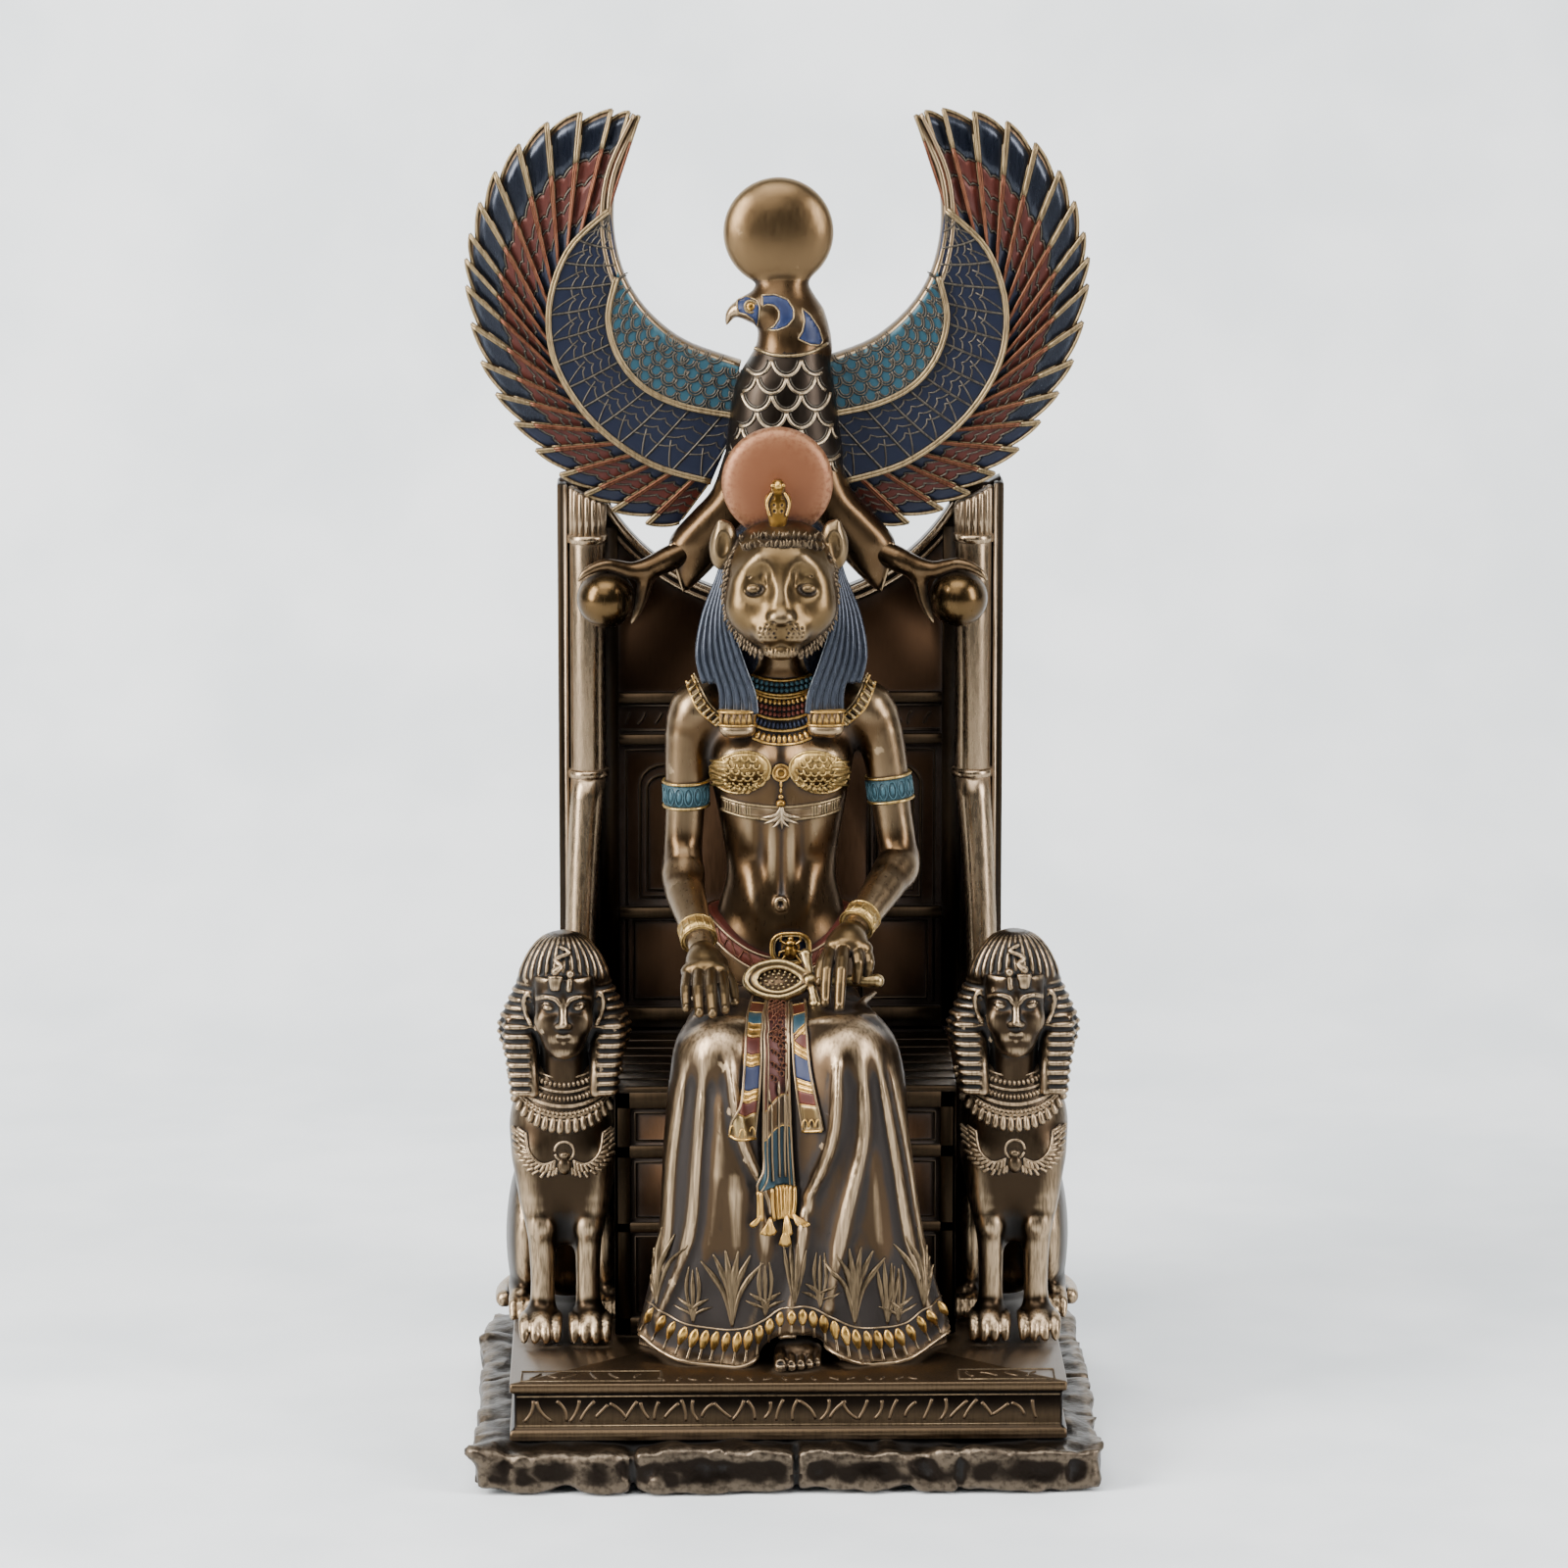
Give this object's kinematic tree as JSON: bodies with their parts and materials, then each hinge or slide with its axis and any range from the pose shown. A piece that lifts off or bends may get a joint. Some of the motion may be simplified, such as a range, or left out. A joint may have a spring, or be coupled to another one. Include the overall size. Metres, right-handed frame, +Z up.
{
  "type": "seated lioness-headed goddess figurine",
  "caption": "Tabletop figure of a lioness-headed goddess seated on a high-backed throne, with a spread-winged falcon above and a sphinx at each side.",
  "frame": {"origin": "middle of the footprint, on the surface the base stands on", "axes": "+X to the viewer's right, -Y the way the figure faces, +Z up"},
  "size_m": [0.1309, 0.1158, 0.273],
  "materials": {
    "base_bronze": "dark gunmetal-brown patina on cold-cast bronze, rubbed lighter at the block edges",
    "plinth_bronze": "dark brown patinated cold-cast bronze with rubbed mouldings",
    "throne_bronze": "dark brown patinated cold-cast bronze, satin",
    "falcon_bronze": "antique cold-cast bronze with painted blue, red and teal feather cells",
    "figure_bronze": "antique cold-cast bronze, brushed bright on raised forms, with painted gold, blue, teal and red details",
    "sphinx_bronze": "brown patinated cold-cast bronze, rubbed lighter on raised relief"
  },
  "bodies": {
    "root": {"stone_base": "base_bronze", "plinth": "plinth_bronze", "throne": "throne_bronze", "falcon": "falcon_bronze", "sekhmet": "figure_bronze", "sphinx_left": "sphinx_bronze", "sphinx_right": "sphinx_bronze"}
  },
  "joints": []
}
